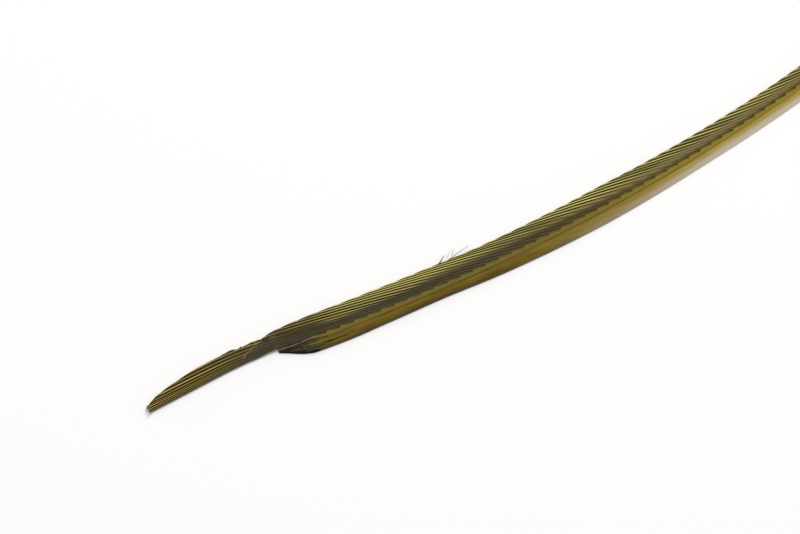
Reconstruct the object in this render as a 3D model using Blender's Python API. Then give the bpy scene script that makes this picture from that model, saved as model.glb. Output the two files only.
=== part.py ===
"""A strip of turkey biots: a split sliver of wing quill, and the short, stiff barbs of the
feather's leading edge that grow from it, zipped side by side into one ridged, rolled web.

The strip lies on its cut face, bowed in plan. Its length runs along X, from the free tip at -X
to the cut butt at +X. Y runs across it, from the quill to the free edge of the web."""

import math

import bmesh
import bpy
import numpy as np

MM = 0.001

# Driving sizes, in millimetres

LENGTH = 100.0
BOW_RADIUS = 208.0
QUILL_START = -35.9
FIRST_SEAT = -35.4
TORN_END = -32.7
QUILL_HEIGHT = 0.72
RIM_HEIGHT = 0.60
RIM_WIDTH = 0.50
BIOT_PITCH = 1.47
BIOT_COUNT = 57
VANE_THICKNESS = 0.25
SEAT_HEIGHT = 0.45
PIECE_GAP = 0.06

# The quill

QUILL_WIDTH = (
    (-35.9, 0.12),
    (-35.0, 0.60),
    (-33.9, 1.20),
    (TORN_END, 1.50),
    (-30.0, 1.52),
    (-24.5, 1.32),
    (-19.0, 1.20),
    (-12.0, 1.46),
    (0.0, 1.64),
    (8.0, 1.50),
    (14.0, 1.40),
    (26.0, 1.38),
    (50.0, 1.50),
)
QUILL_RISE = ((-35.9, 0.50), (TORN_END, 0.62), (-31.2, 0.95), (-29.0, 1.0))
SCALLOP = 0.14
SCALLOP_STEP = 0.06
GROOVE = 0.05
CRACK_FROM, CRACK_TO = -32.4, -27.0
CRACK_PLACE = 0.72
CRACK_HALF_WIDTH = 0.07
CRACK_DEPTH = 0.42
RIM_FOOT, RIM_BEVEL, RIM_SWELL = 0.86, 0.07, 1.02
GROOVE_HALF_WIDTH = 0.05
SHOULDER_DROP = 0.04
BACK_CORNERS = ((-0.87, 0.70), (-0.97, 0.40), (-1.00, 0.16))
FOOT_SHARE = 0.96

# The web of biots

FREE_TIP_LINE = ((-50.0, 3.80), (-46.0, 3.77), (-42.0, 3.75), (-39.0, 3.62), (-37.0, 3.34), (-35.0, 2.945))
VANE_WIDTH = (
    (-50.0, 0.71),
    (-48.4, 1.32),
    (-46.0, 1.72),
    (-43.2, 1.97),
    (-40.3, 1.92),
    (-37.2, 1.83),
    (-35.3, 2.38),
    (-33.0, 2.62),
    (-30.0, 2.74),
    (-20.0, 2.68),
    (-11.5, 2.46),
    (1.3, 2.46),
    (7.7, 2.29),
    (26.5, 1.95),
    (50.0, 1.90),
)
TIP_PLACE = (
    (0.0, -50.0),
    (3.2, -50.0),
    (4.4, -49.5),
    (5.3, -48.9),
    (6.3, -47.6),
    (7.4, -45.0),
    (8.6, -41.4),
    (9.9, -37.2),
    (11.5, -35.3),
    (12.8, -33.0),
    (16.0, -26.0),
    (23.0, -12.5),
    (33.8, 5.6),
    (57.0, 39.7),
)
BLUNT_BIOTS = 3.2
CURL = ((0.0, 1.0), (8.0, 0.9), (12.0, 0.40), (30.0, 0.25), (38.0, -0.30), (57.0, -0.30))
ROLL = 0.25
ROLL_LEAN = 0.60
ROLL_SKEW = 1.3
RIB_HEIGHT = 0.07
RIBS_FROM, RIBS_FULL = 0.20, 0.60
ALL_RIBS_UNTIL, NO_RIBS_FROM = -46.0, -38.0
QUILL_EASES_IN = (-38.5, -36.0)
TIP_STEP = 0.012
PATH_STEPS = 11


def through(points, at):
    """A smooth curve through a few (place, size) points that never overshoots them."""
    places, sizes = np.array(points).T
    rises = np.diff(sizes) / np.diff(places)
    at = min(max(at, places[0]), places[-1])
    k = min(max(int(np.searchsorted(places, at)) - 1, 0), len(rises) - 1)
    slopes = []
    for end in (k, k + 1):
        before, after = rises[max(end - 1, 0)], rises[min(end, len(rises) - 1)]
        slopes.append(2 * before * after / (before + after) if before * after > 0 else 0.0)
    span = places[k + 1] - places[k]
    t = (at - places[k]) / span
    start = (1 + 2 * t) * (1 - t) ** 2 * sizes[k] + t * (1 - t) ** 2 * span * slopes[0]
    finish = t * t * (3 - 2 * t) * sizes[k + 1] + t * t * (t - 1) * span * slopes[1]
    return start + finish


def eased(low, high, at):
    """0 at low, 1 at high, and level at both ends."""
    t = min(max((at - low) / (high - low), 0.0), 1.0)
    return t * t * (3 - 2 * t)


def bow_line(x):
    """Y of the strip's bow: the line that the biots grow from, along the quill's rim."""
    return x * x / (2 * BOW_RADIUS)


def near_line(x):
    """Y of the web's near edge: the seats on the quill, and its own line past the quill's end."""
    return through(FREE_TIP_LINE, x) if x < FREE_TIP_LINE[-1][0] else bow_line(x)


def seat_place(biot):
    return FIRST_SEAT + BIOT_PITCH * biot


def new_piece(name, points, faces, colour, roughness, parent):
    """One closed mesh object from points in millimetres, with its own material."""
    shape = bmesh.new()
    verts = [shape.verts.new([value * MM for value in point]) for point in points]
    for face in faces:
        shape.faces.new([verts[i] for i in face])
    bmesh.ops.recalc_face_normals(shape, faces=shape.faces)
    mesh = bpy.data.meshes.new(name)
    shape.to_mesh(mesh)
    shape.free()
    mesh.shade_smooth()
    mesh.set_sharp_from_angle(angle=math.radians(40))
    material = bpy.data.materials.new(name)
    material.use_nodes = True
    surface = material.node_tree.nodes["Principled BSDF"]
    surface.inputs["Base Color"].default_value = (*colour, 1.0)
    surface.inputs["Roughness"].default_value = roughness
    surface.inputs["Metallic"].default_value = 0.0
    mesh.materials.append(material)
    piece = bpy.data.objects.new(name, mesh)
    piece.parent = parent
    bpy.context.scene.collection.objects.link(piece)
    return piece


# The quill: one closed section, carried along the bow

def quill_stations():
    """Places along the quill: its torn end closely, then both sides of each scallop's step."""
    places = [QUILL_START, QUILL_START + 0.25]
    for biot in range(1, BIOT_COUNT + 1):
        step = seat_place(biot)
        places += [step - SCALLOP_STEP / 2, step + SCALLOP_STEP / 2]
    places += [CRACK_FROM, CRACK_TO, LENGTH / 2]
    return sorted(places)


def rim_edge(x):
    """How far the rim reaches past the seat line: highest where a biot starts, then falling."""
    if x < TORN_END:
        return SCALLOP
    phase = ((x - FIRST_SEAT) / BIOT_PITCH) % 1.0
    return SCALLOP * (1 - phase)


def quill_section(x):
    """The section's (across, height) points at one place, anticlockwise from the near foot."""
    width = through(QUILL_WIDTH, x)
    rise = through(QUILL_RISE, x)
    top, rim = QUILL_HEIGHT * rise, RIM_HEIGHT * rise
    groove = -min(RIM_WIDTH, 0.45 * width)
    crack = -CRACK_PLACE * width
    half = min(CRACK_HALF_WIDTH, 0.1 * width)
    depth = CRACK_DEPTH * top if CRACK_FROM < x < CRACK_TO else 0.0
    edge = rim_edge(x)
    corners = [
        (-FOOT_SHARE * width, 0.0),
        (edge, 0.0),
        (edge, RIM_FOOT * rim),
        (edge - RIM_BEVEL * width, rim),
        (groove + GROOVE_HALF_WIDTH * width, RIM_SWELL * rim),
        (groove, RIM_SWELL * rim - GROOVE * rise),
        (groove - GROOVE_HALF_WIDTH * width, top - SHOULDER_DROP),
        (crack + half, top),
        (crack, top - depth),
        (crack - half, top),
    ]
    return corners + [(share * width, high * top) for share, high in BACK_CORNERS]


def make_quill(parent):
    points, faces = [], []
    places = quill_stations()
    for x in places:
        points += [(x, bow_line(x) + across, height) for across, height in quill_section(x)]
    around = len(points) // len(places)
    for i in range(len(places) - 1):
        for j in range(around):
            a, b = i * around + j, i * around + (j + 1) % around
            faces += [(a, b, b + around), (a, b + around, a + around)]
    last = len(points) - around
    faces.append(tuple(range(around)))
    faces.append(tuple(range(len(points) - 1, last - 1, -1)))
    return new_piece("quill", points, faces, (0.30, 0.22, 0.055), 0.35, parent)


# The web: every biot follows one law, from its seat on the quill to its tip on the free edge

def biot_point(biot, t):
    """Where a biot is, a share t of the way from its seat to its tip: x and the share across."""
    start, end = seat_place(biot), through(TIP_PLACE, biot)
    x = start + (end - start) * t
    curl = through(CURL, biot)
    reach = min(biot / BLUNT_BIOTS, 1.0) * through(VANE_WIDTH, end)
    return x, min(reach * (t + curl * t * (1 - t)) / through(VANE_WIDTH, x), 1.0)


def vane_surface(x, share):
    """The rolled web's upper face at a share of the way from its near edge to its free edge."""
    on_quill = eased(*QUILL_EASES_IN, x)
    near = on_quill * (SCALLOP + PIECE_GAP)
    width = through(VANE_WIDTH, x)
    foot = VANE_THICKNESS + on_quill * (SEAT_HEIGHT - VANE_THICKNESS)
    roll = ROLL * width * math.sin(math.pi * share**ROLL_SKEW)
    across = near + (width - near) * share - ROLL_LEAN * roll
    return near_line(x) + across, foot + (VANE_THICKNESS - foot) * share + roll


def rib_strength(x, share):
    """Low ribs by the quill, full ones on the outer web and all across the free tip."""
    return max(eased(RIBS_FROM, RIBS_FULL, share), 1 - eased(ALL_RIBS_UNTIL, NO_RIBS_FROM, x))


def make_vane(parent):
    upper, lower = [], []
    columns = 2 * BIOT_COUNT + 1
    for column in range(columns):
        ridge = column % 2
        biot = column / 2
        for step in range(PATH_STEPS + 1):
            t = step / PATH_STEPS
            x, share = biot_point(biot, t)
            if step == PATH_STEPS and not ridge and biot > BLUNT_BIOTS:
                share -= TIP_STEP
            y, height = vane_surface(x, share)
            rib = RIB_HEIGHT * rib_strength(x, share) * (1 if ridge else -1)
            upper.append((x, y, height + rib))
            lower.append((x, y, height - VANE_THICKNESS))
    points = upper + lower
    rows = PATH_STEPS + 1
    under = len(upper)
    faces = []
    for column in range(columns - 1):
        for step in range(PATH_STEPS):
            a = column * rows + step
            b = a + rows
            faces += [(a, b, b + 1), (a, b + 1, a + 1)]
            faces += [(under + a, under + b + 1, under + b), (under + a, under + a + 1, under + b + 1)]
    edge = [column * rows for column in range(columns)]
    edge += [(columns - 1) * rows + step for step in range(1, rows)]
    edge += [column * rows + rows - 1 for column in range(columns - 2, -1, -1)]
    edge += [step for step in range(rows - 2, 0, -1)]
    for here, there in zip(edge, edge[1:] + edge[:1]):
        faces += [(here, under + here, under + there), (here, under + there, there)]
    return new_piece("vane", points, faces, (0.17, 0.135, 0.05), 0.55, parent)


def main():
    for old in list(bpy.data.objects):
        bpy.data.objects.remove(old)
    strip = bpy.data.objects.new("strip", None)
    bpy.context.scene.collection.objects.link(strip)
    pieces = [make_quill(strip), make_vane(strip)]
    across = [vertex.co.y for piece in pieces for vertex in piece.data.vertices]
    strip.location.y = -(min(across) + max(across)) / 2


main()
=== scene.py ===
# %% [markdown]
# # A strip of turkey biots
# Along the leading edge of a turkey's wing quill stand short, stiff barbs called biots. Fly tiers
# split the quill lengthwise and get strips like this one: a sliver of quill with a row of biots
# lying side by side on it like the slats of a blind. This lesson dresses the plain solids of such
# a strip: the quill gets its gloss and its torn end, and the web is laid again blade by blade.

# %% Load the solids
import math

import bmesh
import bpy
import numpy as np
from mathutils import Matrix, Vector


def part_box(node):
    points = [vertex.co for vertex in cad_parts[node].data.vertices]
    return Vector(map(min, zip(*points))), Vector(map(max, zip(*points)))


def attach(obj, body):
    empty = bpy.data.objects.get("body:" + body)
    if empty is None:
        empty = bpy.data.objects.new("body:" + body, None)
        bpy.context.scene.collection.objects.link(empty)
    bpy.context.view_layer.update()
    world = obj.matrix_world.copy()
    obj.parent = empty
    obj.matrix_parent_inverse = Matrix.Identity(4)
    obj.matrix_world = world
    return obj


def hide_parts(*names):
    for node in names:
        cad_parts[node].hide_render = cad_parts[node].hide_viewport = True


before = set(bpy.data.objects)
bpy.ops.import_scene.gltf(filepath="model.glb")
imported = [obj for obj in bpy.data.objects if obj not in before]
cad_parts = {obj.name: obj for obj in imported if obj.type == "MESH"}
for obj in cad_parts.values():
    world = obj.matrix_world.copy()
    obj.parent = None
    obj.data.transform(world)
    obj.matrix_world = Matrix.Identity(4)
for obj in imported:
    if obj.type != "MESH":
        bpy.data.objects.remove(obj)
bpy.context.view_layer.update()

# %% [markdown]
# ## The laws of the shape
# The model follows a few simple laws: the quill is bowed like an arc, its width changes slowly,
# and each biot leaves its seat at a steady pitch. On the real strip the biots sit a little closer
# together towards the butt. The solids were built from the same laws, so repeating them here puts
# every blade where the solid web is. Each law is a smooth curve through a few sizes in
# millimetres. A spline could overshoot between them; this curve never does.

# %% Curves through a few sizes
MM = 0.001
LENGTH = 100.0
BOW_RADIUS = 208.0


def through(points, at):
    """A smooth curve through (place, size) points that never overshoots them."""
    places, sizes = np.array(points, float).T
    at = np.clip(at, places[0], places[-1])
    rises = np.diff(sizes) / np.diff(places)
    before, after = np.r_[rises[0], rises], np.r_[rises, rises[-1]]
    alike = before * after > 0
    slopes = np.where(alike, 2 * before * after / np.where(alike, before + after, 1.0), 0.0)
    k = np.clip(np.searchsorted(places, at) - 1, 0, len(rises) - 1)
    span = places[k + 1] - places[k]
    t = (at - places[k]) / span
    start = (1 + 2 * t) * (1 - t) ** 2 * sizes[k] + t * (1 - t) ** 2 * span * slopes[k]
    return start + t * t * (3 - 2 * t) * sizes[k + 1] + t * t * (t - 1) * span * slopes[k + 1]


def eased(low, high, at):
    """0 at low, 1 at high, and level at both ends."""
    t = np.clip((at - low) / (high - low), 0.0, 1.0)
    return t * t * (3 - 2 * t)


def bow_line(x):
    """How far the strip's bow has carried the seats sideways at a place along it."""
    return x * x / (2 * BOW_RADIUS)


# %% The quill's sizes
QUILL_START, TORN_END = -35.9, -32.7
QUILL_HEIGHT, RIM_HEIGHT, RIM_WIDTH = 0.72, 0.60, 0.50
FIRST_SEAT, BIOT_PITCH, BIOT_COUNT = -35.4, 1.47, 57
QUILL_WIDTH = (
    (QUILL_START, 0.12), (-35.0, 0.60), (-33.9, 1.20), (TORN_END, 1.50), (-30.0, 1.52),
    (-24.5, 1.32), (-19.0, 1.20), (-12.0, 1.46), (0.0, 1.64), (8.0, 1.50), (14.0, 1.40),
    (26.0, 1.38), (50.0, 1.50),
)
SCALLOP, GROOVE = 0.14, 0.05

quill_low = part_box("quill")[0]
middle_part = np.linspace(-20, 20, 801)
LIFT_Y = quill_low.y / MM - (bow_line(middle_part) - through(QUILL_WIDTH, middle_part)).min()
print("the strip stands %.3f mm to the side of its own bow" % LIFT_Y)

# %% [markdown]
# ## Seeing it
# The camera looks down on the strip from in front and from its left, through a long lens.

# %% Camera
CAMERA_X, CAMERA_Y, CAMERA_Z = -113.81, -139.25, 245.75
CAMERA_TILT, CAMERA_TURN = 35.0, -32.89
LENS, FILM_WIDTH = 135, 36
camera = bpy.data.objects.new("camera", bpy.data.cameras.new("camera"))
bpy.context.scene.collection.objects.link(camera)
camera.location = (CAMERA_X * MM, (CAMERA_Y + LIFT_Y) * MM, CAMERA_Z * MM)
camera.rotation_euler = (math.radians(CAMERA_TILT), 0.0, math.radians(CAMERA_TURN))
camera.data.lens = LENS
camera.data.sensor_width = FILM_WIDTH
camera.data.clip_start = 0.01
bpy.context.scene.camera = camera
print("camera at", tuple(round(value, 4) for value in camera.location))

# %% [markdown]
# ## Mixing finishes in code
# A finish is a graph of nodes. Drawing it by hand is slow to read back, so two small helpers write
# it as sums: a Signal is one number on its way through the finish, and + - * / on it add Math
# nodes. Colours go through Mix nodes, because a Math node would turn them grey.

# %% Signals and finishes
def paint(red, green, blue):
    """A screen colour, 0 to 255, as the light it stands for."""
    light = [value / 255 for value in (red, green, blue)]
    light = [v / 12.92 if v <= 0.04045 else ((v + 0.055) / 1.055) ** 2.4 for v in light]
    return (*light, 1.0)


class Signal:
    """One number in a finish. Sums written with it become Math nodes."""

    def __init__(self, finish, socket):
        self.finish, self.socket = finish, socket

    def math(self, operation, *values):
        return self.finish.node("ShaderNodeMath", {"operation": operation}, dict(enumerate(values)))

    def __add__(self, other): return self.math("ADD", self, other)
    def __radd__(self, other): return self.math("ADD", other, self)
    def __sub__(self, other): return self.math("SUBTRACT", self, other)
    def __rsub__(self, other): return self.math("SUBTRACT", other, self)
    def __mul__(self, other): return self.math("MULTIPLY", self, other)
    def __truediv__(self, other): return self.math("DIVIDE", self, other)
    def most(self, other): return self.math("MAXIMUM", self, other)
    def wrapped(self): return self.math("FRACT", self)

    def ramp(self, low, high):
        """0 at low, 1 at high, smooth between; low may be the larger of the two."""
        settings = {"interpolation_type": "SMOOTHSTEP"}
        values = {"Value": self, "From Min": low, "From Max": high}
        return self.finish.node("ShaderNodeMapRange", settings, values)


class Finish:
    """A material whose nodes are added one call at a time."""

    def __init__(self, name, roughness, specular):
        self.material = bpy.data.materials.new(name)
        self.material.use_nodes = True
        self.tree = self.material.node_tree
        self.surface = self.tree.nodes["Principled BSDF"]
        self.surface.inputs["Specular IOR Level"].default_value = specular
        self.surface.inputs["Roughness"].default_value = roughness

    def node(self, kind, settings=None, values=None, output=0):
        node = self.tree.nodes.new(kind)
        for setting, value in (settings or {}).items():
            setattr(node, setting, value)
        for socket, value in (values or {}).items():
            self.feed(node.inputs[socket], value)
        return Signal(self, node.outputs[output])

    def feed(self, socket, value):
        if isinstance(value, Signal):
            self.tree.links.new(value.socket, socket)
        else:
            socket.default_value = value

    def attribute(self, name):
        return self.node("ShaderNodeAttribute", {"attribute_name": name}, output="Fac")

    def mix(self, share, first, second):
        """Two colours blended by a share from 0 to 1."""
        settings = {"data_type": "RGBA", "clamp_factor": True}
        return self.node("ShaderNodeMix", settings, {0: share, 6: first, 7: second}, 2)

    def noise(self, place, scale, detail=2.0):
        return self.node("ShaderNodeTexNoise", None, {"Vector": place, "Scale": scale, "Detail": detail})

    def vector(self, x, y, z):
        return self.node("ShaderNodeCombineXYZ", None, {0: x, 1: y, 2: z})

    def bump(self, height, strength, distance):
        values = {"Height": height, "Strength": strength, "Distance": distance}
        self.shows("Normal", self.node("ShaderNodeBump", None, values))

    def shows(self, socket, value):
        self.feed(self.surface.inputs[socket], value)


# %% [markdown]
# ## Turning numbers into a piece
# Every piece is a list of points in millimetres and the faces between them, with a few numbers
# stored on the points. The finishes read those numbers: how far across the quill a point lies,
# or whether it is on the cut face. They travel with the mesh, so a pattern can't slide.

# %% Build a mesh
def new_mesh(name, points, edges, faces, stored):
    """A mesh from points in millimetres, with numbers and directions stored on its points."""
    mesh = bpy.data.meshes.new(name)
    places = (np.asarray(points, float) + (0.0, LIFT_Y, 0.0)) * MM
    mesh.from_pydata(places.tolist(), edges, faces)
    for label, values in stored.items():
        values = np.asarray(values, float)
        kind, field = ("FLOAT_VECTOR", "vector") if values.ndim == 2 else ("FLOAT", "value")
        mesh.attributes.new(label, kind, "POINT").data.foreach_set(field, values.ravel())
    return mesh


def new_piece(name, mesh, finish):
    """An object for a closed mesh, its faces turned outwards and smooth."""
    shape = bmesh.new()
    shape.from_mesh(mesh)
    bmesh.ops.recalc_face_normals(shape, faces=shape.faces)
    shape.to_mesh(mesh)
    shape.free()
    mesh.shade_smooth()
    mesh.materials.clear()
    mesh.materials.append(finish.material)
    piece = bpy.data.objects.new(name, mesh)
    bpy.context.scene.collection.objects.link(piece)
    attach(piece, "root")
    print(name, len(mesh.vertices), "points", len(mesh.polygons), "faces")
    return piece


# %% [markdown]
# ## The quill
# The sliver of quill is hard, glossy keratin outside and spongy pith where it was split. It is one
# closed section carried along the bow: a flat cut face below, a low rim on the biots' side, a fine
# groove, and a rounded back. The rim's edge steps out at each biot's seat and then falls away, which
# gives the row of small scallops. At the left the quill is torn, so each point of the section
# starts at its own place and the front comes out ragged.

# %% The quill's section
CUT_STEPS = 6
SECTION_FINE = 5
SCALLOP_RISE = 0.16
RIM_WHOLE_UNTIL = FIRST_SEAT + (2 + SCALLOP_RISE) * BIOT_PITCH


def rim_edge(x):
    """How far the rim reaches past the seat line: highest where a biot starts, then falling."""
    phase = ((x - FIRST_SEAT) / BIOT_PITCH) % 1.0
    stepped = SCALLOP * (1 - phase) * eased(0.0, SCALLOP_RISE, phase)
    return np.where(x < RIM_WHOLE_UNTIL, SCALLOP, stepped)


def section_corners(x):
    """Across and height of guide points round the quill's upper side, seat side first."""
    width = through(QUILL_WIDTH, x)
    groove = -np.minimum(RIM_WIDTH, 0.45 * width)
    edge = rim_edge(x)
    top, rim = QUILL_HEIGHT, RIM_HEIGHT
    pairs = [
        (edge, 0.0), (edge, 0.45 * rim), (edge, 0.86 * rim), (edge - 0.07 * width, rim),
        (groove + 0.06 * width, 1.03 * rim), (groove, 1.02 * rim - GROOVE),
        (groove - 0.05 * width, top - 0.05), (groove - 0.16 * width, top - 0.015),
        (-0.62 * width, top), (-0.80 * width, 0.84 * top), (-0.94 * width, 0.50 * top), (-width, 0.16 * top),
    ]
    return np.array([(across + 0 * x, high + 0 * x) for across, high in pairs])


def smooth_ring(corners):
    """The guide points joined by finer ones, then the flat cut face back to the start."""
    count, _, stations = corners.shape
    marks = np.linspace(0, count - 1, (count - 1) * SECTION_FINE + 1)
    upper = np.empty((len(marks), 2, stations))
    for station in range(stations):
        for part in (0, 1):
            guide = np.column_stack([np.arange(count), corners[:, part, station]])
            upper[:, part, station] = through(guide, marks)
    foot = upper[-1] * np.array([[0.96], [0.0]])
    shares = np.linspace(0, 1, CUT_STEPS, endpoint=False)[:, None, None]
    return np.concatenate([upper, foot + (upper[0] - foot) * shares])


# %% [markdown]
# ## The torn front
# Where the strip was pulled off the feather the hard skin ends in two short tongues with a crack
# between them, and the dark pith below it runs on to a thin ragged flap. One law says where the
# skin stops at each place across the quill. Behind that line the section has its full height and
# in front of it only the flap's.

# %% Where the skin ends
SKIN_ENDS = (
    (-1.00, -32.1), (-0.93, -32.5), (-0.84, -32.45), (-0.79, -31.6), (-0.765, -29.2), (-0.74, -28.5),
    (-0.715, -29.2), (-0.68, -31.4), (-0.60, -32.9), (-0.50, -33.3), (-0.42, -32.3), (-0.33, -31.75),
    (-0.20, -31.75), (-0.12, -32.2), (0.0, -32.6), (0.1, -33.2),
)
FLAP_RISE = ((QUILL_START, 0.50), (-34.6, 0.58), (-31.0, 0.64))
SKIN_RISE = ((-34.0, 0.74), (-31.2, 0.95), (-29.0, 1.0))
TEAR_RUN, RIM_TEAR_RUN = 0.28, 2.4
KNOT_HOLE = (-31.3, -0.30, 0.30, 0.06)


def frayed(x, across_share):
    """Small steps in the tear, from the fibres that gave way one by one."""
    return 0.16 * np.sin(across_share * 61.0 + 1.3) + 0.10 * np.sin(across_share * 137.0 + 0.4 * x)


def skin_there(x, across_share):
    """0 on the flap, 1 on the skin."""
    line = through(SKIN_ENDS, across_share) + frayed(x, across_share)
    run = TEAR_RUN + (RIM_TEAR_RUN - TEAR_RUN) * eased(-0.24, -0.10, across_share)
    return eased(-run / 2, run / 2, x - line)


def in_hole(x, across_share):
    """1 in the small dark hole just behind the tear."""
    along_hole = (x - KNOT_HOLE[0]) / KNOT_HOLE[2]
    across_hole = (across_share - KNOT_HOLE[1]) / KNOT_HOLE[3]
    return 1 - eased(0.5, 1.1, np.hypot(along_hole, across_hole))


# %% Carry it along the bow
FINE_STEP, COARSE_STEP, FINE_UNTIL = 0.05, 0.105, -28.0
fine_places = np.arange(QUILL_START, FINE_UNTIL, FINE_STEP)
coarse_places = np.arange(FINE_UNTIL, LENGTH / 2, COARSE_STEP)
quill_x = np.r_[fine_places, coarse_places, LENGTH / 2]
ring = smooth_ring(section_corners(quill_x))
stations, around = len(quill_x), ring.shape[0]
across, height = ring[:, 0].T, ring[:, 1].T
place = np.repeat(quill_x[:, None], around, axis=1)
across_share = across / through(QUILL_WIDTH, quill_x)[:, None]
skin_share = skin_there(place, across_share)
hole = in_hole(place, across_share)
flap = through(FLAP_RISE, place) * (1 + 0.10 * np.sin(across_share * 47.0) * np.sin(place * 3.1))
height = height * (flap + (through(SKIN_RISE, place) - flap) * skin_share) * (1 - 0.35 * hole)
cut_face = np.zeros(around)
cut_face[-CUT_STEPS + 1:] = 1.0
quill_points = np.stack([place, bow_line(place) + across, height], axis=-1).reshape(-1, 3)
index = np.arange(stations * around).reshape(stations, around)
turned = np.roll(index, -1, axis=1)
quill_faces = np.stack([index[:-1], turned[:-1], turned[1:], index[1:]], axis=-1).reshape(-1, 4).tolist()
quill_faces += [index[0].tolist(), index[-1][::-1].tolist()]
quill_stored = {
    "along": place.ravel(),
    "across": across_share.ravel(),
    "skin": skin_share.ravel(),
    "hole": hole.ravel(),
    "pith": np.tile(cut_face, stations),
}
print("quill ring of", around, "points at", stations, "places")

# %% [markdown]
# ## The quill's finish
# Looked at closely the quill isn't one colour. It is dark olive near the tear and golden further
# on, with long faint streaks and a brown groove. Light is painted over that: a painted cream
# highlight on each scallop with painted shade at its step, painted shade along the lower side
# near the tear, and a painted reflection of the white table that turns the lower side pale, almost
# pink, towards the butt. The cut face below is made as a greenish sponge of pith. All of that is
# colour and fine relief over one glossy surface.

# %% Quill finish
quill_finish = Finish("quill_keratin", 0.34, 0.12)
along = quill_finish.attribute("along")
side = quill_finish.attribute("across")
pith = quill_finish.attribute("pith")
skin_left = quill_finish.attribute("skin")
streaks = quill_finish.noise(quill_finish.vector(along * 0.35, side * 6.0, 0.0), 1.0, 4.0)
fine_streaks = quill_finish.noise(quill_finish.vector(along * 1.2, side * 22.0, 3.0), 1.0, 2.0)
olive = quill_finish.mix(streaks.ramp(0.3, 0.7), paint(92, 73, 12), paint(113, 94, 18))
tawny = quill_finish.mix(streaks.ramp(0.3, 0.7), paint(122, 101, 30), paint(137, 117, 42))
straw = quill_finish.mix(streaks.ramp(0.3, 0.7), paint(148, 126, 44), paint(161, 142, 62))
skin = quill_finish.mix(along.ramp(-12.0, 2.0), olive, tawny)
skin = quill_finish.mix(along.ramp(2.0, 14.0), skin, straw)
# Painted reflection of the white table: the lower side turns pale, almost pink, towards the butt.
painted_table_reflection = side.ramp(-0.58, -1.02) * along.ramp(-10.0, 20.0)
skin = quill_finish.mix(painted_table_reflection, skin, paint(208, 194, 172))
# Painted shade: the lower side is darkened near the tear, and darker still at its very edge.
shaded_side = side.ramp(-0.7, -1.0) * along.ramp(0.0, -20.0)
skin = quill_finish.mix(shaded_side * 0.2, skin, paint(66, 50, 16))
underside_shade = side.ramp(-0.88, -1.0) * along.ramp(-8.0, -20.0)
skin = quill_finish.mix(underside_shade * 0.7, skin, paint(66, 51, 24))
rim = side.ramp(-0.36, -0.30)
rim_colour = quill_finish.mix(along.ramp(-8.0, 12.0), paint(108, 95, 38), paint(122, 106, 38))
skin = quill_finish.mix(rim * 0.8, skin, rim_colour)
groove_gap = (side + 0.335).math("ABSOLUTE", side + 0.335)
skin = quill_finish.mix(groove_gap.ramp(0.10, 0.0) * along.ramp(26.0, 6.0) * 0.6, skin, paint(84, 64, 10))
phase = ((along - FIRST_SEAT) / BIOT_PITCH).wrapped()
# Painted cream highlight on the left part of each scallop's edge.
scallop_highlight = phase.ramp(0.0, 0.12) * phase.ramp(0.8, 0.2) * side.ramp(-0.04, 0.05)
skin = quill_finish.mix(scallop_highlight * 0.40, skin, paint(172, 156, 78))
step_shade = phase.ramp(0.86, 1.0).most(phase.ramp(0.07, 0.0)) * side.ramp(-0.12, 0.0)
step_shade = step_shade * along.ramp(RIM_WHOLE_UNTIL, RIM_WHOLE_UNTIL + 0.3)
skin = quill_finish.mix(step_shade * 0.55, skin, paint(66, 54, 18))
fibres = quill_finish.noise(quill_finish.vector(along * 0.9, side * 26.0, 8.0), 1.0, 3.0)
flap_colour = quill_finish.mix(fibres.ramp(0.45, 0.75), paint(28, 24, 14), paint(82, 68, 40))
flap_colour = quill_finish.mix(side.ramp(-0.70, -0.92), flap_colour, paint(20, 21, 17))
ridge_line = side.ramp(-0.10, -0.02)
flap_colour = quill_finish.mix(ridge_line * 0.7, flap_colour, paint(122, 114, 86))
skin = quill_finish.mix(skin_left, flap_colour, skin)
skin = quill_finish.mix(quill_finish.attribute("hole"), skin, paint(44, 32, 26))
sponge = quill_finish.noise(quill_finish.vector(along * 7.0, side * 3.0, 0.0), 1.0, 5.0)
pith_colour = quill_finish.mix(sponge.ramp(0.35, 0.65), paint(38, 44, 30), paint(112, 116, 84))
quill_finish.shows("Base Color", quill_finish.mix(pith, skin, pith_colour))
quill_finish.shows("Roughness", 0.62 - skin_left * 0.28 + fine_streaks * 0.10 + pith * 0.3)
quill_finish.bump(fine_streaks * 0.25 + fibres * (1.0 - skin_left) * 1.5 + sponge * pith * 2.0, 0.5, 0.00003)

# %% Place the quill
quill_mesh = new_mesh("quill_skin", quill_points, [], quill_faces, quill_stored)
quill = new_piece("quill_skin", quill_mesh, quill_finish)
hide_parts("quill")

# %% [markdown]
# ## The path of a biot
# A biot leaves its seat, runs forward almost along the quill and ends at the free edge. The web
# that they form is rolled: it rises from the quill, leans back over itself and comes down again
# to its free edge. So a path is found in two steps, first on the flat web as a share of the way across,
# then on the rolled surface.

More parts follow.
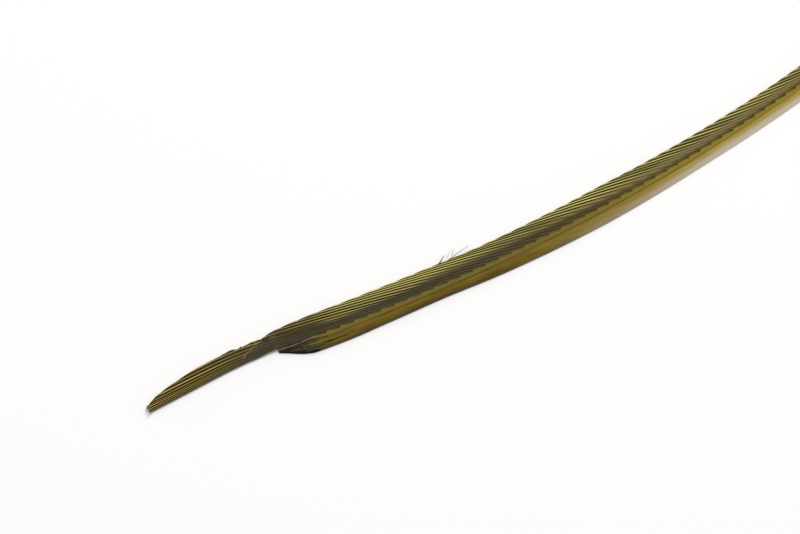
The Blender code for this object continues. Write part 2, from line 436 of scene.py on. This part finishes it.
# %% The web's laws
VANE_THICKNESS, SEAT_HEIGHT, PIECE_GAP = 0.25, 0.45, 0.06
FREE_TIP_LINE = (
    (-50.0, 3.80), (-46.0, 3.77), (-42.0, 3.75), (-39.0, 3.62), (-37.0, 3.34), (-35.0, 2.945),
)
VANE_WIDTH = (
    (-50.0, 0.71), (-48.4, 1.32), (-46.0, 1.72), (-43.2, 1.97), (-40.3, 1.92), (-37.2, 1.83),
    (-35.3, 2.38), (-33.0, 2.62), (-30.0, 2.74), (-20.0, 2.68), (-11.5, 2.46), (1.3, 2.46),
    (7.7, 2.29), (26.5, 1.95), (50.0, 1.90),
)
TIP_PLACE = (
    (0.0, -50.0), (3.2, -50.0), (4.4, -49.5), (5.3, -48.9), (6.3, -47.6), (7.4, -45.0),
    (8.6, -41.4), (9.9, -37.2), (11.5, -35.3), (12.8, -33.0), (16.0, -26.0), (23.0, -12.5), (33.8, 5.6),
    (57.0, 39.7),
)
BLUNT_BIOTS = 3.2
CURL = ((0.0, 1.0), (8.0, 0.9), (12.0, 0.40), (30.0, 0.25), (38.0, -0.30), (57.0, -0.30))
ROLL, ROLL_LEAN, ROLL_SKEW = 0.25, 0.60, 1.3
RIB_HEIGHT = 0.055
QUILL_EASES_IN = (-38.5, -36.0)


def web_surface(x, share):
    """The rolled web's upper face at a share of the way from its near edge to its free edge."""
    on_quill = eased(*QUILL_EASES_IN, x)
    near = on_quill * (SCALLOP + PIECE_GAP)
    width = through(VANE_WIDTH, x)
    foot = VANE_THICKNESS + on_quill * (SEAT_HEIGHT - VANE_THICKNESS)
    roll = ROLL * width * np.sin(np.pi * np.clip(share, 0.0, 1.0) ** ROLL_SKEW)
    sideways = near + (width - near) * share - ROLL_LEAN * roll
    base = np.where(x < FREE_TIP_LINE[-1][0], through(FREE_TIP_LINE, x), bow_line(x))
    return np.stack([x, base + sideways, foot + (VANE_THICKNESS - foot) * share + roll], axis=-1)


def biot_path(biot, t):
    """The place and the share across of a biot, a share t of the way from seat to tip."""
    start, end = FIRST_SEAT + BIOT_PITCH * biot, through(TIP_PLACE, biot)
    x = start + (end - start) * t
    reach = np.minimum(biot / BLUNT_BIOTS, 1.0) * through(VANE_WIDTH, end)
    across = reach * (t + through(CURL, biot) * t * (1 - t))
    return x, np.minimum(across / through(VANE_WIDTH, x), 1.0)


# %% [markdown]
# ## Rails for the blades
# Each blade is laid along a rail: a chain of points that also stores which way is sideways and
# which way is up there. Sideways is the step from the path on one side to the path on the other,
# so the blades close up where the web narrows. At both ends it is the whole step, which puts the
# ends on the seat line and on the free edge, as the slats of a blind end on its cord. Between
# them only the part square to the blade is kept, because a slanting section shows as a saw
# pattern. The blades start a little inside the rim, where the real ones grow from the quill.

# %% Rails
PATH_STEPS = 130
TUCK = -0.05
OVERLAP = 0.60
CREST_ROOM = 0.01
ROOT_SHARE, END_SHARE = 0.16, 0.84
NECK_BEGINS, NECK_IS_OVER = (-43.0, -41.0), (-37.0, -35.0)
NECK_OUTER_PART, NECK_CLOSES = (0.80, 1.0), 0.4
rng = np.random.default_rng(7)


def unit(vectors):
    return vectors / np.maximum(np.linalg.norm(vectors, axis=-1, keepdims=True), 1e-9)


def blade_rails(biots):
    """Rows of points along the biots: place, share across, centre, sideways and up."""
    t = np.linspace(TUCK, 1.0, PATH_STEPS)[None, :]
    biots = np.asarray(biots, float)[:, None]
    x, share = biot_path(biots, t)
    centre = web_surface(x, share) - (0.0, 0.0, CREST_ROOM)
    before = web_surface(*biot_path(np.clip(biots - 0.5, 0, BIOT_COUNT), t))
    after = web_surface(*biot_path(np.clip(biots + 0.5, 0, BIOT_COUNT), t))
    forward = unit(np.gradient(centre, axis=1))
    gap = after - before
    slide = np.sum(gap * forward, axis=-1, keepdims=True)
    square = eased(0.0, ROOT_SHARE, t) * (1 - eased(END_SHARE, 1.0, t))
    gap = gap - forward * slide * square[..., None]
    narrowing = eased(*NECK_BEGINS, x) * (1 - eased(*NECK_IS_OVER, x))
    gap = gap * (1 - NECK_CLOSES * eased(*NECK_OUTER_PART, share) * narrowing)[..., None]
    up = unit(np.cross(gap, forward))
    up *= np.sign(up[..., 2:3])
    return x, share, centre, gap, up


def rail_mesh(name, centre, sideways, up, rib, deep, stored):
    """Chains of points, one a row, with what the sweep needs stored on them."""
    rows, steps = centre.shape[:2]
    index = np.arange(rows * steps).reshape(rows, steps)
    edges = np.stack([index[:, :-1], index[:, 1:]], axis=-1).reshape(-1, 2).tolist()
    numbers = {label: np.broadcast_to(value, (rows, steps)).ravel() for label, value in stored.items()}
    numbers["sideways"] = (sideways * MM).reshape(-1, 3)
    numbers["up"] = up.reshape(-1, 3)
    numbers["rib"] = np.broadcast_to(rib, (rows, steps)).ravel() * MM
    numbers["deep"] = np.broadcast_to(deep, (rows, steps)).ravel() * MM
    return new_mesh(name, centre.reshape(-1, 3), edges, [], numbers)


# %% [markdown]
# ## Sweeping a section along rails
# All blades, hairs and fibres share one Geometry Nodes tree. It turns the chains into curves,
# carries a small ring along them, and then sets every point from the directions stored on the
# rail: so far sideways, so far up. Curve to Mesh alone would let the section twist on the rolled
# web; the stored directions keep each blade lying on it. The ring's top half is the blade's crest
# and its lower half the keel below it.

# %% The sweep
def tree_node(tree, kind, settings=None, values=None):
    node = tree.nodes.new(kind)
    for setting, value in (settings or {}).items():
        setattr(node, setting, value)
    for socket, value in (values or {}).items():
        if isinstance(value, bpy.types.NodeSocket):
            tree.links.new(value, node.inputs[socket])
        else:
            node.inputs[socket].default_value = value
    return node


def stored_number(tree, name, kind="FLOAT"):
    reader = tree_node(tree, "GeometryNodeInputNamedAttribute", {"data_type": kind}, {"Name": name})
    return reader.outputs["Attribute"]


def sum_of(tree, operation, *values):
    return tree_node(tree, "ShaderNodeMath", {"operation": operation}, dict(enumerate(values))).outputs[0]


def scaled(tree, direction, amount):
    values = {0: direction, "Scale": amount}
    return tree_node(tree, "ShaderNodeVectorMath", {"operation": "SCALE"}, values).outputs[0]


def added(tree, first, second):
    return tree_node(tree, "ShaderNodeVectorMath", {"operation": "ADD"}, {0: first, 1: second}).outputs[0]


def sweep_tree():
    tree = bpy.data.node_groups.new("sweep_blades", "GeometryNodeTree")
    face = tree.interface
    face.new_socket("Geometry", in_out="OUTPUT", socket_type="NodeSocketGeometry")
    face.new_socket("Geometry", in_out="INPUT", socket_type="NodeSocketGeometry")
    face.new_socket("Ring Points", in_out="INPUT", socket_type="NodeSocketInt").default_value = 12
    face.new_socket("Crest Lean", in_out="INPUT", socket_type="NodeSocketFloat").default_value = 0.0
    face.new_socket("Crest Sharpness", in_out="INPUT", socket_type="NodeSocketFloat").default_value = 1.0
    face.new_socket("Finish", in_out="INPUT", socket_type="NodeSocketMaterial")
    given = tree_node(tree, "NodeGroupInput").outputs
    ring = tree_node(tree, "GeometryNodeCurvePrimitiveCircle", {"mode": "RADIUS"},
                     {"Resolution": given["Ring Points"], "Radius": 1.0}).outputs["Curve"]
    spot = tree_node(tree, "ShaderNodeSeparateXYZ", None,
                     {0: tree_node(tree, "GeometryNodeInputPosition").outputs[0]}).outputs
    for label, value in (("ring_x", spot["X"]), ("ring_y", spot["Y"])):
        ring = tree_node(tree, "GeometryNodeStoreNamedAttribute", {"data_type": "FLOAT", "domain": "POINT"},
                         {"Geometry": ring, "Name": label, "Value": value}).outputs["Geometry"]
    middle = tree_node(tree, "GeometryNodeInputPosition").outputs[0]
    directions = {"data_type": "FLOAT_VECTOR", "domain": "POINT"}
    rails = tree_node(tree, "GeometryNodeStoreNamedAttribute", directions,
                      {"Geometry": given["Geometry"], "Name": "middle", "Value": middle}).outputs["Geometry"]
    rails = tree_node(tree, "GeometryNodeMeshToCurve", None, {"Mesh": rails}).outputs["Curve"]
    swept = tree_node(tree, "GeometryNodeCurveToMesh", None,
                      {"Curve": rails, "Profile Curve": ring, "Fill Caps": True}).outputs["Mesh"]
    ring_x, ring_y = stored_number(tree, "ring_x"), stored_number(tree, "ring_y")
    above = sum_of(tree, "MAXIMUM", ring_y, 0.0)
    below = sum_of(tree, "MINIMUM", ring_y, 0.0)
    crest = sum_of(tree, "POWER", above, given["Crest Sharpness"])
    raised = sum_of(tree, "MULTIPLY_ADD", crest, 2.0, -1.0)
    out = sum_of(tree, "MULTIPLY", raised, stored_number(tree, "rib"))
    out = sum_of(tree, "MULTIPLY_ADD", below, stored_number(tree, "deep"), out)
    aside = sum_of(tree, "MULTIPLY_ADD", above, given["Crest Lean"], ring_x)
    target = added(tree, stored_number(tree, "middle", "FLOAT_VECTOR"),
                   scaled(tree, stored_number(tree, "sideways", "FLOAT_VECTOR"), aside))
    target = added(tree, target, scaled(tree, stored_number(tree, "up", "FLOAT_VECTOR"), out))
    placed = tree_node(tree, "GeometryNodeSetPosition", None,
                       {"Geometry": swept, "Position": target}).outputs[0]
    real = tree_node(tree, "GeometryNodeRealizeInstances", None, {"Geometry": placed}).outputs[0]
    done = tree_node(tree, "GeometryNodeSetMaterial", None,
                     {"Geometry": real, "Material": given["Finish"]}).outputs[0]
    tree_node(tree, "NodeGroupOutput", None, {0: done})
    return tree


SWEEP = sweep_tree()


def swept_piece(name, rails, finish, **inputs):
    """Runs the sweep on a rail mesh and keeps the result as a plain piece."""
    holder = bpy.data.objects.new(name + "_rails", rails)
    bpy.context.scene.collection.objects.link(holder)
    modifier = holder.modifiers.new("sweep", "NODES")
    modifier.node_group = SWEEP
    chosen = {label.replace("_", " "): value for label, value in inputs.items()}
    chosen["Finish"] = finish.material
    for item in SWEEP.interface.items_tree:
        if item.item_type == "SOCKET" and item.in_out == "INPUT" and item.name in chosen:
            modifier[item.identifier] = chosen[item.name]
    bpy.context.view_layer.update()
    graph = bpy.context.evaluated_depsgraph_get()
    mesh = bpy.data.meshes.new_from_object(holder.evaluated_get(graph))
    mesh.name = name
    bpy.data.objects.remove(holder)
    for label in ("middle", "sideways", "up"):
        mesh.attributes.remove(mesh.attributes[label])
    return new_piece(name, mesh, finish)


# %% [markdown]
# ## The biots' finish
# A biot is a stiff olive blade. Where the blades stand up as ribs a painted yellow-olive highlight
# runs along their crests and a painted near-black shadow fills the gaps between them. Near the
# quill the blades lie flat and smooth, in a slate grey turning to brown that is partly their own
# colour and partly painted shade; the stored light mixes this shaded colour with a lit olive one.
# Each blade is a shade lighter or darker than the next, and fine streaks run along it.

# %% Biot finish
biot_finish = Finish("biot_blades", 0.5, 0.10)
light = biot_finish.attribute("light")
contrast = biot_finish.attribute("contrast")
slate = biot_finish.attribute("slate")
deep_tone = biot_finish.attribute("deep_tone")
shade = biot_finish.attribute("shade")
run = biot_finish.attribute("run")
aside = biot_finish.attribute("ring_x")
film = biot_finish.attribute("film") + aside * biot_finish.attribute("film_aside")
off_centre = aside.math("ABSOLUTE", aside)
wander = biot_finish.noise(biot_finish.vector(run * 1.3, aside * 1.5, shade * 40.0), 1.0, 3.0)
# Painted highlight along each blade's crest and painted shadow in the gaps between blades, both scaled by the
# stored contrast.
crest_highlight = off_centre.ramp(0.42, 0.06)
gap_shadow = off_centre.ramp(0.28, 0.56)
# The shaded colour, slate grey turning to brown, and the lit colour; the stored light mixes them, so the dark
# band by the seats is painted shade over the blades' own colour.
dark = biot_finish.mix(slate, paint(76, 63, 34), paint(60, 56, 43))
lit = biot_finish.mix(deep_tone, paint(94, 84, 40), paint(80, 65, 22))
flat_colour = biot_finish.mix(light, dark, lit)
flat_colour = biot_finish.mix(wander.ramp(0.45, 0.75) * 0.3, flat_colour, paint(112, 99, 58))
flat_colour = biot_finish.mix(wander.ramp(0.5, 0.25) * 0.35, flat_colour, paint(44, 38, 22))
crest_highlight_colour = biot_finish.mix(deep_tone, paint(230, 217, 114), paint(194, 169, 78))
flat_colour = biot_finish.mix(biot_finish.attribute("smooth") * 0.8, flat_colour, paint(132, 119, 76))
flat_colour = biot_finish.mix(biot_finish.attribute("behind_tear") * 0.6, flat_colour, paint(46, 36, 8))
ribs = biot_finish.mix(crest_highlight * (0.5 + shade * 0.5) * contrast, flat_colour, crest_highlight_colour)
ribs = biot_finish.mix(shade.ramp(0.5, 0.0) * contrast * 0.3, ribs, paint(48, 40, 16))
ribs = biot_finish.mix(gap_shadow * contrast, ribs, paint(22, 17, 4))
film_edge = (film.math("ABSOLUTE", film)).ramp(0.20, 0.06) * biot_finish.attribute("film_there")
ribs = biot_finish.mix(film_edge * 0.55, ribs, paint(140, 124, 76))
ribs = biot_finish.mix(biot_finish.attribute("end") * 0.7, ribs, paint(34, 27, 10))
biot_finish.shows("Base Color", ribs)
biot_finish.shows("Roughness", 0.42 + wander * 0.2)

# %% [markdown]
# ## Laying the web
# Fifty-seven blades stand side by side. Their ribs are low by the quill and full on the outer part
# of the web, and all across it at the free tip, as on the real strip. The painted light of the web
# follows simple laws too: a band of painted shade by the seats, over the blades' own slate grey,
# that narrows along the strip, a smooth lighter band, and the ribs beyond it, which are darker
# close behind the tear. Over the near part of the web behind the free tip the ribs are dulled like
# a film, which ends in a thin pale edge.

# %% Lay the blades
RIBS_FROM, RIBS_FULL = 0.20, 0.60
BLADE_DEPTH = 0.14
# Where the band of painted shade by the seats ends, as a share of the way across.
SHADED_BAND = (
    (-36.0, 0.90), (-33.0, 0.74), (-30.0, 0.46), (-27.0, 0.44), (-20.0, 0.40), (-13.5, 0.42), (-6.5, 0.34),
    (1.3, 0.22), (10.0, 0.10), (24.0, 0.07), (50.0, 0.07),
)
# How strong the painted crest highlights and gap shadows are along the strip.
RIB_CONTRAST = (
    (-50.0, 1.0), (-44.0, 1.0), (-40.0, 0.55), (-35.0, 0.60), (-33.0, 0.85), (-31.0, 1.0), (-29.0, 1.0),
    (-26.0, 0.85), (-20.0, 0.85), (-12.0, 0.80), (-6.0, 0.85), (1.3, 0.95), (10.0, 1.0),
    (20.0, 0.80), (50.0, 0.65),
)
RIBS_START = (
    (-34.0, 0.55), (-31.5, 0.42), (-29.5, 0.24), (-22.0, 0.26), (-17.6, 0.46), (-6.5, 0.44),
    (1.3, 0.36), (10.0, 0.42), (50.0, 0.42),
)
FILM_EDGE = ((0.0, -40.6), (0.36, -39.25), (0.52, -38.77), (0.65, -38.1), (1.0, -36.9))

biots = np.arange(BIOT_COUNT) + 0.5
x, share, centre, gap, up = blade_rails(biots)
strength = np.maximum(eased(RIBS_FROM, RIBS_FULL, share), 1 - eased(-46.0, -38.0, x))
band = through(SHADED_BAND, x)
behind_tip = eased(-42.0, -38.0, x)
ribs_start = through(RIBS_START, x)
outer = eased(0.0, 0.22, share - ribs_start)
contrast_now = through(RIB_CONTRAST, x) * (outer * behind_tip + eased(-0.1, 0.55, share) * (1 - behind_tip))
film_gap = x - through(FILM_EDGE, share)
share_aside = share + gap[..., 1] / through(VANE_WIDTH, x)
film_aside = OVERLAP * (x + gap[..., 0] - through(FILM_EDGE, share_aside) - film_gap)
film_fade = 0.20 + 2.6 * (1 - eased(0.0, 0.36, share))
film_over = eased(-film_fade, film_fade, film_gap) * (1 - eased(0.74, 0.92, share))
on_seats = eased(-36.5, -33.5, x)
lit_in_front = (1 - film_over) * (1 - 0.45 * eased(-45.0, -41.0, x))
lit_now = eased(-0.10, 0.10, share - band) * on_seats + lit_in_front * (1 - on_seats)
smooth_band = eased(0.0, 0.12, share - band) * (1 - eased(0.0, 0.2, share - ribs_start))
smooth_band = smooth_band * eased(-14.0, 0.0, x)
slate_left = 1 - eased(-16.0, 4.0, x)
slate_left = slate_left - eased(0.35, 0.60, share) * on_seats * (1 - eased(-29.0, -24.0, x))
steps_left = np.linspace(1.0, 0.0, PATH_STEPS)[None, :]
behind_tear = eased(-36.5, -34.0, x) * (1 - eased(-32.2, -30.4, x)) * eased(0.25, 0.50, share)
tip_end = (1 - eased(0.0, 0.035, steps_left)) * (1 - eased(-40.0, -36.0, x)) * eased(2.5, 4.0, biots[:, None])
contrast_now = contrast_now * (1 - 0.8 * eased(0.05, 0.0, steps_left) * eased(-36.0, -33.0, x))
contrast_now = contrast_now * (1 - 0.75 * film_over * (1 - on_seats))
blades = rail_mesh(
    "biot_rails", centre, gap * OVERLAP, up, RIB_HEIGHT * (0.25 + 0.75 * strength), BLADE_DEPTH,
    {
        "light": lit_now,
        "end": tip_end,
        "smooth": smooth_band,
        "behind_tear": behind_tear,
        "contrast": contrast_now + 0.10 * (1 - contrast_now),
        "deep_tone": 1 - eased(-32.5, -27.0, x),
        "slate": slate_left,
        "film": film_gap,
        "film_aside": film_aside,
        "film_there": eased(0.28, 0.38, share) * (1 - eased(0.85, 0.95, share)),
        "shade": rng.random((BIOT_COUNT, 1)),
        "run": x,
    },
)
web = swept_piece("biot_web", blades, biot_finish, Ring_Points=12, Crest_Lean=0.15, Crest_Sharpness=1.2)
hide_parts("vane")

# %% [markdown]
# ## Hairs and loose fibres
# Real biots fray. A few fine hairs stand out past the blunt tip, four stray fibres lift from the
# free edge, and torn fibres of the quill lie over the flap. They are too thin for the solids, so
# they are swept here from a start, an end and a bend, and grow thinner towards the end.

# %% Sweep the hairs
hair_finish = Finish("loose_fibres", 0.5, 0.15)
hair_tint = hair_finish.attribute("tint")
hair_run = hair_finish.noise(hair_finish.vector(hair_finish.attribute("run") * 3.0, 0.0, 0.0), 1.0)
hair_colour = hair_finish.mix(hair_tint, paint(46, 40, 24), paint(150, 140, 104))
hair_finish.shows("Base Color", hair_finish.mix(hair_run * 0.3, hair_colour, paint(90, 76, 40)))
HAIR_STEPS = 9
HAIR_THINS, LOWEST_HAIR = 0.6, 0.03
TIP_HAIRS, TORN_FIBRES = 6, 30


def hair_rails(name, hairs):
    """Rails for hairs given as start, end, bend, radius and tint, all in millimetres."""
    t = np.linspace(0, 1, HAIR_STEPS)[None, :, None]
    start, end = (np.array([hair[k] for hair in hairs], float)[:, None, :] for k in (0, 1))
    bend = np.array([hair[2] for hair in hairs], float)[:, None, :]
    radius = np.array([hair[3] for hair in hairs], float)[:, None, None] * (1 - HAIR_THINS * t)
    centre = start + (end - start) * t + bend * 4 * t * (1 - t)
    centre[..., 2] = np.maximum(centre[..., 2], LOWEST_HAIR)
    forward = unit(np.gradient(centre, axis=1))
    sideways = unit(np.cross(forward, (0.0, 0.0, 1.0)))
    up = unit(np.cross(sideways, forward))
    tint = np.array([hair[4] for hair in hairs], float)[:, None]
    return rail_mesh(name, centre, sideways * radius, up, 0.5 * radius[..., 0], radius[..., 0],
                     {"tint": tint, "run": centre[..., 0]})


edge_hairs = [
    ((-17.4, 2.98, 0.45), (-16.1, 3.66, 0.62), (0.0, 0.03, 0.0), 0.078, 0.05),
    ((-16.0, 3.36, 0.50), (-15.3, 3.90, 0.60), (0.0, -0.04, 0.0), 0.026, 0.9),
    ((-15.4, 3.40, 0.50), (-14.8, 4.00, 0.60), (0.03, 0.0, 0.0), 0.024, 0.9),
    ((-16.4, 2.98, 0.45), (-13.4, 3.34, 0.62), (0.0, 0.06, 0.0), 0.050, 0.35),
]
tip_hairs = []
for hair in range(TIP_HAIRS):
    side_way = 3.74 + 0.76 * hair / (TIP_HAIRS - 1) + rng.normal(0, 0.03)
    reach_out = 0.35 + 0.45 * rng.random()
    tip_hairs.append((
        (-49.85, side_way, 0.14 + 0.04 * rng.random()),
        (-49.95 - reach_out, side_way - 0.30 * reach_out + rng.normal(0, 0.05), 0.10 + 0.1 * rng.random()),
        (0.0, rng.normal(0, 0.02), 0.02), 0.020 + 0.012 * rng.random(), 0.3 + 0.5 * rng.random(),
    ))
torn_fibres = []
for fibre in range(TORN_FIBRES):
    start_x = -31.4 - 1.6 * rng.random()
    across_at = -0.10 - 1.35 * rng.random()
    length = 0.8 + 1.8 * rng.random()
    end_x = max(start_x - length, QUILL_START + 0.5)
    room = -through(QUILL_WIDTH, np.array(end_x)) + 0.06
    across_end = max(across_at * 0.9 + 0.10 * rng.normal(), float(room))
    torn_fibres.append((
        (start_x, bow_line(start_x) + across_at, 0.40 + 0.14 * rng.random()),
        (end_x, bow_line(end_x) + across_end, 0.30 + 0.16 * rng.random()),
        (0.0, 0.06 * rng.normal(), 0.05), 0.022 + 0.020 * rng.random(), 0.6 * rng.random() ** 2,
    ))
fibre_rails = hair_rails("hair_rails", edge_hairs + tip_hairs + torn_fibres)
swept_piece("loose_fibres", fibre_rails, hair_finish, Ring_Points=6, Crest_Lean=0.0, Crest_Sharpness=1.0)

# %% [markdown]
# ## Stage and light
# The strip lies on a plain white table under one large soft light, with the room's own pale light
# filling the shadows. The light is scaled down with the subject: for a strip ten centimetres long
# it is a square of 36 centimetres.

# %% Table and light
TABLE_REACH = 3.0
TABLE_COLOUR = (0.925, 0.918, 0.912, 1.0)
ROOM_LIGHT = 0.60
KEY_PLACE, KEY_SIZE, KEY_POWER = (0.05, 0.08, 0.46), 0.36, 1.30
corner_signs = ((-1, -1), (1, -1), (1, 1), (-1, 1))
floor_mesh = bpy.data.meshes.new("table")
floor_mesh.from_pydata([(x * TABLE_REACH, y * TABLE_REACH, 0) for x, y in corner_signs], [], [(0, 1, 2, 3)])
table_finish = Finish("table_white", 0.8, 0.1)
table_finish.shows("Base Color", TABLE_COLOUR)
floor_mesh.materials.append(table_finish.material)
table = bpy.data.objects.new("table", floor_mesh)
bpy.context.scene.collection.objects.link(table)

world = bpy.data.worlds.new("room")
world.use_nodes = True
world.node_tree.nodes["Background"].inputs["Color"].default_value = (1.0, 1.0, 1.0, 1.0)
world.node_tree.nodes["Background"].inputs["Strength"].default_value = ROOM_LIGHT
bpy.context.scene.world = world


def soft_light(name, place, size, power):
    """A square soft light that faces the middle of the strip."""
    panel = bpy.data.lights.new(name, "AREA")
    panel.size, panel.energy = size, power
    lamp = bpy.data.objects.new(name, panel)
    lamp.location = place
    towards = -np.array(place)
    lamp.rotation_euler = (math.atan2(math.hypot(towards[0], towards[1]), -towards[2]), 0,
                           math.atan2(towards[1], towards[0]) - math.pi / 2)
    bpy.context.scene.collection.objects.link(lamp)


soft_light("key_light", KEY_PLACE, KEY_SIZE, KEY_POWER)
bpy.context.scene.view_settings.view_transform = "Standard"
bpy.context.scene.view_settings.look = "None"
